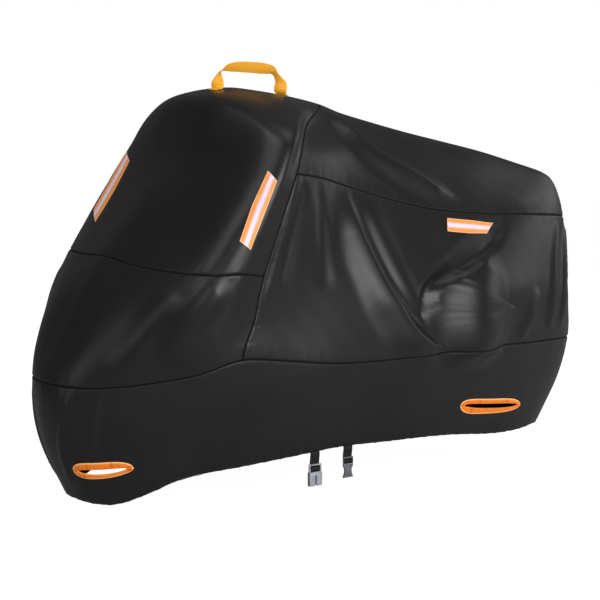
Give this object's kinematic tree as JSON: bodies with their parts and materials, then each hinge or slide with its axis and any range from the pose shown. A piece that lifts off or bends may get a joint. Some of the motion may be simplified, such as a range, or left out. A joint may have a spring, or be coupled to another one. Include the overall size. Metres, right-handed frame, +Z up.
{
  "type": "motorcycle cover",
  "caption": "Fitted outdoor cloth cover for a motorcycle, with lock holes, reflective tapes, a top handle and a buckled belly belt.",
  "frame": {"origin": "under the middle of the cover, at the height of the lower buckle's end, the lowest point", "axes": "+Z up, +Y from the nose to the tail, +X to the side that carries the belly belt"},
  "size_m": [0.8296, 2.0834, 1.2956],
  "materials": {
    "cloth": "coated polyester, low sheen",
    "binding": "woven orange binding",
    "tape": "retroreflective tape, pale middle and orange edges",
    "handle": "yellow-orange webbing",
    "webbing": "black webbing",
    "pale_plastic": "moulded silver-grey acetal",
    "dark_plastic": "moulded dark grey acetal"
  },
  "bodies": {
    "root": {"front_upper_panel": "cloth", "front_lower_panel": "cloth", "seat_panel": "cloth", "side_panel_left": "cloth", "side_panel_right": "cloth", "skirt_panel": "cloth", "lock_hole_front_left": "binding", "lock_hole_front_right": "binding", "lock_hole_rear_left": "binding", "lock_hole_rear_right": "binding", "reflective_tape_front_left": "tape", "reflective_tape_front_right": "tape", "reflective_tape_rear_left": "tape", "reflective_tape_rear_right": "tape", "handle_webbing": "handle", "belt_webbing_female": "webbing", "belt_webbing_male": "webbing", "buckle_female": "pale_plastic", "buckle_male": "dark_plastic"}
  },
  "joints": []
}
